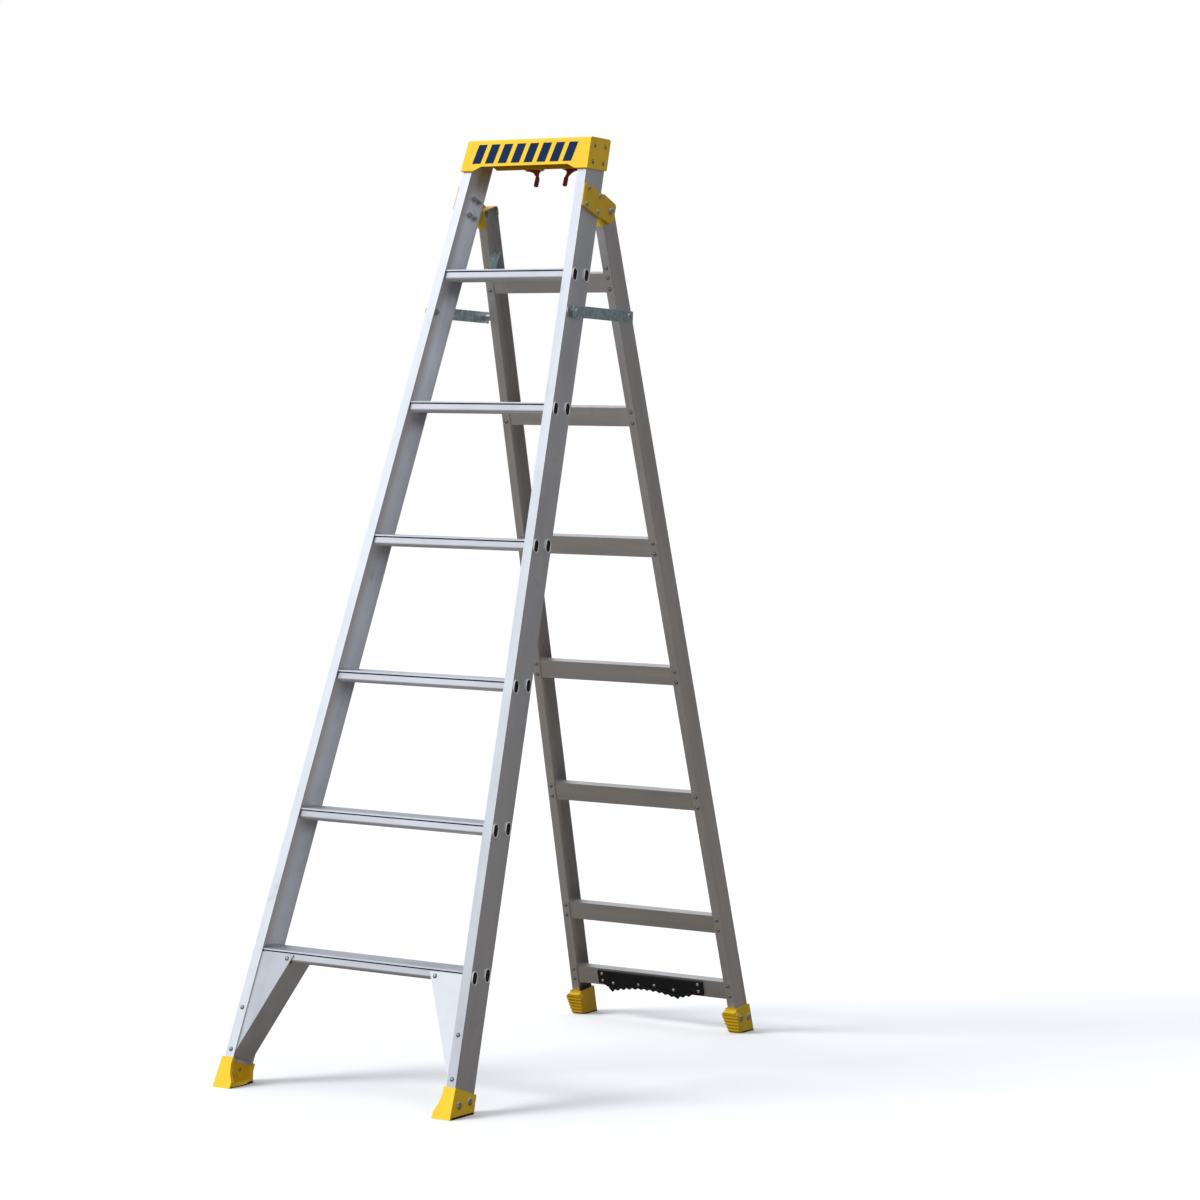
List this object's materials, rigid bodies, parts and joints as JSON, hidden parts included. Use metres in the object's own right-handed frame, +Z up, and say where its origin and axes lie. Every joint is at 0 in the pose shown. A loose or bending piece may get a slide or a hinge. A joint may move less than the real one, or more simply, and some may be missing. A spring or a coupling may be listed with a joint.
{
  "type": "dual-purpose step and extension ladder",
  "caption": "Aluminium step ladder whose rear rung section hinges at the top and swings over to make a straight ladder, with moulded cap, boots, hinge plates and spreader bars.",
  "frame": {"origin": "on the floor, at the centre of the ladder's footprint as it stands open", "axes": "+X to the right as seen from the climbing side, +Y from the climbing side to the rear section, +Z up"},
  "size_m": [0.5894, 1.3462, 1.9885],
  "materials": {
    "aluminium": "mill finish extrusion, fine lengthwise lines",
    "brace_aluminium": "bright folded sheet",
    "yellow_plastic": "moulded, satin",
    "red_plastic": "moulded, satin",
    "black_rubber": "moulded, matt",
    "galvanised_steel": "galvanised",
    "zinc_steel": "zinc plated"
  },
  "bodies": {
    "front_frame": {"front_stile_left": "aluminium", "front_stile_right": "aluminium", "tread_1": "aluminium", "tread_2": "aluminium", "tread_3": "aluminium", "tread_4": "aluminium", "tread_5": "aluminium", "tread_6": "aluminium", "top_cap": "yellow_plastic", "cap_rivets": "zinc_steel", "brace_left": "brace_aluminium", "brace_right": "brace_aluminium", "brace_rivets": "zinc_steel", "front_foot_left": "yellow_plastic", "front_foot_right": "yellow_plastic", "front_foot_rivets": "zinc_steel", "hinge_plate_left": "yellow_plastic", "hinge_plate_right": "yellow_plastic", "hinge_bolts": "zinc_steel", "pivot_bolt_left": "zinc_steel", "pivot_bolt_right": "zinc_steel", "spreader_studs": "zinc_steel", "spreader_keepers": "galvanised_steel", "latch_pins": "zinc_steel"},
    "rear_frame": {"rear_stile_left": "aluminium", "rear_stile_right": "aluminium", "rung_1": "aluminium", "rung_2": "aluminium", "rung_3": "aluminium", "rung_4": "aluminium", "rung_5": "aluminium", "rung_6": "aluminium", "rung_7": "aluminium", "rung_rivets": "zinc_steel", "end_cap_left": "yellow_plastic", "end_cap_right": "yellow_plastic", "gusset_left": "galvanised_steel", "gusset_right": "galvanised_steel", "rear_foot_left": "yellow_plastic", "rear_foot_right": "yellow_plastic", "rear_foot_rivets": "zinc_steel", "pole_grip": "black_rubber", "pole_grip_bolts": "zinc_steel", "spreader_bolts": "zinc_steel"},
    "spreader_left": {"spreader_left": "galvanised_steel"},
    "spreader_right": {"spreader_right": "galvanised_steel"},
    "latch_left": {"latch_lever_left": "red_plastic"},
    "latch_right": {"latch_lever_right": "red_plastic"}
  },
  "joints": [
    {"name": "rear_swing", "type": "hinge", "parent": "front_frame", "child": "rear_frame", "pos_m": [0, 0.05134, 1.835], "axis": [1, 0, 0], "range_deg": [-36, 144]},
    {"name": "spreader_left_swing", "type": "hinge", "parent": "rear_frame", "child": "spreader_left", "pos_m": [-0.186, 0.10666, 1.612], "axis": [1, 0, 0], "range_deg": [0, 107]},
    {"name": "spreader_right_swing", "type": "hinge", "parent": "rear_frame", "child": "spreader_right", "pos_m": [0.186, 0.10666, 1.612], "axis": [1, 0, 0], "range_deg": [0, 107]},
    {"name": "latch_left_swing", "type": "hinge", "parent": "front_frame", "child": "latch_left", "pos_m": [-0.049, 0.08494, 1.93271], "axis": [1, 0, 0], "range_deg": [0, 75]},
    {"name": "latch_right_swing", "type": "hinge", "parent": "front_frame", "child": "latch_right", "pos_m": [0.049, 0.08494, 1.93271], "axis": [1, 0, 0], "range_deg": [0, 75]}
  ]
}
